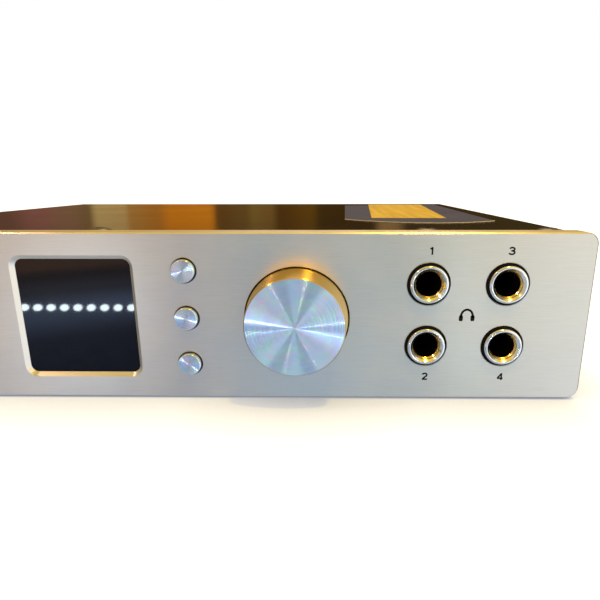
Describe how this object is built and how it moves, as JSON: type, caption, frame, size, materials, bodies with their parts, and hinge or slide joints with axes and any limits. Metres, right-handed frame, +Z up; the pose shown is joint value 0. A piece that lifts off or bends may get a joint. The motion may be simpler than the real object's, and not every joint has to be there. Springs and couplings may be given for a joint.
{
  "type": "headphone amplifier",
  "caption": "Low half-rack headphone amplifier: brushed aluminium face with a square display, push buttons, a large turned volume knob and headphone jacks, in a black sheet-steel case.",
  "frame": {"origin": "on the surface it stands on, at the middle of the amplifier's footprint (knob face to rear connectors, side to side)", "axes": "+Z up, +Y from the front panel towards the rear panel, +X to the right for someone facing the front panel"},
  "size_m": [0.215, 0.1773, 0.0447],
  "materials": {
    "anodised_panel": "fine horizontal brushing, clear anodised, satin",
    "turned_aluminium": "turned face with fine concentric tool marks, bright",
    "display_glass": "near-black polished display lens",
    "bright_chrome": "polished chrome plate",
    "black_plastic": "satin black moulded plastic",
    "gloss_black_plastic": "polished black moulded plastic",
    "cover_paint": "gloss black baked enamel on sheet steel",
    "tray_paint": "satin black baked enamel on sheet steel",
    "dark_steel": "dark nickel plated steel",
    "plain_steel": "bright zinc or nickel plated steel",
    "brass_post": "bright brass",
    "foot_rubber": "matt black rubber",
    "board_green": "green solder mask on glass-fibre board",
    "board_black": "black solder mask and dark display cell",
    "clear_plastic": "clear moulded plastic or glass",
    "winding_tape": "wound polyester tape",
    "capacitor_sleeve": "shrunk dark blue sleeve",
    "black_anodised": "black anodised extrusion",
    "white_plastic": "off-white moulded plastic",
    "grey_ribbon": "ribbed grey flat cable",
    "lead_sleeve": "insulated stranded lead"
  },
  "bodies": {
    "chassis": {"front_panel": "anodised_panel", "display_window": "display_glass", "display_module": "board_black", "encoder_body": "plain_steel", "encoder_nut": "plain_steel", "front_board": "board_green", "tactile_switches": "black_plastic", "light_pipe": "clear_plastic", "jack_board": "board_green", "line_jacks": "black_plastic", "line_jack_nuts": "bright_chrome", "chassis_tray": "tray_paint", "front_bracket": "tray_paint", "rear_panel": "tray_paint", "top_cover": "cover_paint", "cover_screws": "dark_steel", "side_screws": "dark_steel", "panel_screws": "plain_steel", "inlet_screws": "dark_steel", "rubber_feet": "foot_rubber", "mains_inlet": "black_plastic", "inlet_blades": "plain_steel", "rocker_frame": "black_plastic", "data_socket": "plain_steel", "earth_post": "brass_post", "main_board": "board_green", "supply_board": "board_green", "board_standoffs": "brass_post", "board_screws": "plain_steel", "toroid_transformer": "winding_tape", "transformer_pad": "foot_rubber", "transformer_clamp": "plain_steel", "transformer_bolt": "plain_steel", "reservoir_capacitors": "capacitor_sleeve", "regulator_heatsink": "black_anodised", "power_semiconductors": "black_plastic", "fuse_clips": "brass_post", "mains_fuse": "clear_plastic", "board_chips": "black_plastic", "muting_relays": "white_plastic", "coupling_capacitors": "capacitor_sleeve", "ribbon_headers": "black_plastic", "ribbon_cable": "grey_ribbon", "mains_leads": "lead_sleeve", "headphone_jack_1": "black_plastic", "jack_ferrule_1": "bright_chrome", "headphone_jack_2": "black_plastic", "jack_ferrule_2": "bright_chrome", "headphone_jack_3": "black_plastic", "jack_ferrule_3": "bright_chrome", "headphone_jack_4": "black_plastic", "jack_ferrule_4": "bright_chrome"},
    "knob": {"volume_knob": "turned_aluminium", "knob_grub_screw": "dark_steel", "encoder_shaft": "plain_steel"},
    "button_1": {"function_button_1": "turned_aluminium"},
    "button_2": {"function_button_2": "turned_aluminium"},
    "button_3": {"function_button_3": "turned_aluminium"},
    "standby": {"standby_button": "turned_aluminium"},
    "rocker": {"power_rocker": "gloss_black_plastic"}
  },
  "joints": [
    {"name": "volume_turn", "type": "hinge", "parent": "chassis", "child": "knob", "pos_m": [0.033, -0.08035, 0.0224], "axis": [0, 1, 0], "continuous": true},
    {"name": "button_1_press", "type": "slide", "parent": "chassis", "child": "button_1", "axis": [0, 1, 0], "range_m": [0, 0.0005], "stiffness_N_per_m": 1000, "springref_m": -0.0006},
    {"name": "button_2_press", "type": "slide", "parent": "chassis", "child": "button_2", "axis": [0, 1, 0], "range_m": [0, 0.0005], "stiffness_N_per_m": 1000, "springref_m": -0.0006},
    {"name": "button_3_press", "type": "slide", "parent": "chassis", "child": "button_3", "axis": [0, 1, 0], "range_m": [0, 0.0005], "stiffness_N_per_m": 1000, "springref_m": -0.0006},
    {"name": "standby_press", "type": "slide", "parent": "chassis", "child": "standby", "axis": [0, 1, 0], "range_m": [0, 0.0005], "stiffness_N_per_m": 1000, "springref_m": -0.0006},
    {"name": "rocker_tilt", "type": "hinge", "parent": "chassis", "child": "rocker", "pos_m": [-0.038, 0.08165, 0.0225], "axis": [1, 0, 0], "range_deg": [0, 16]}
  ]
}
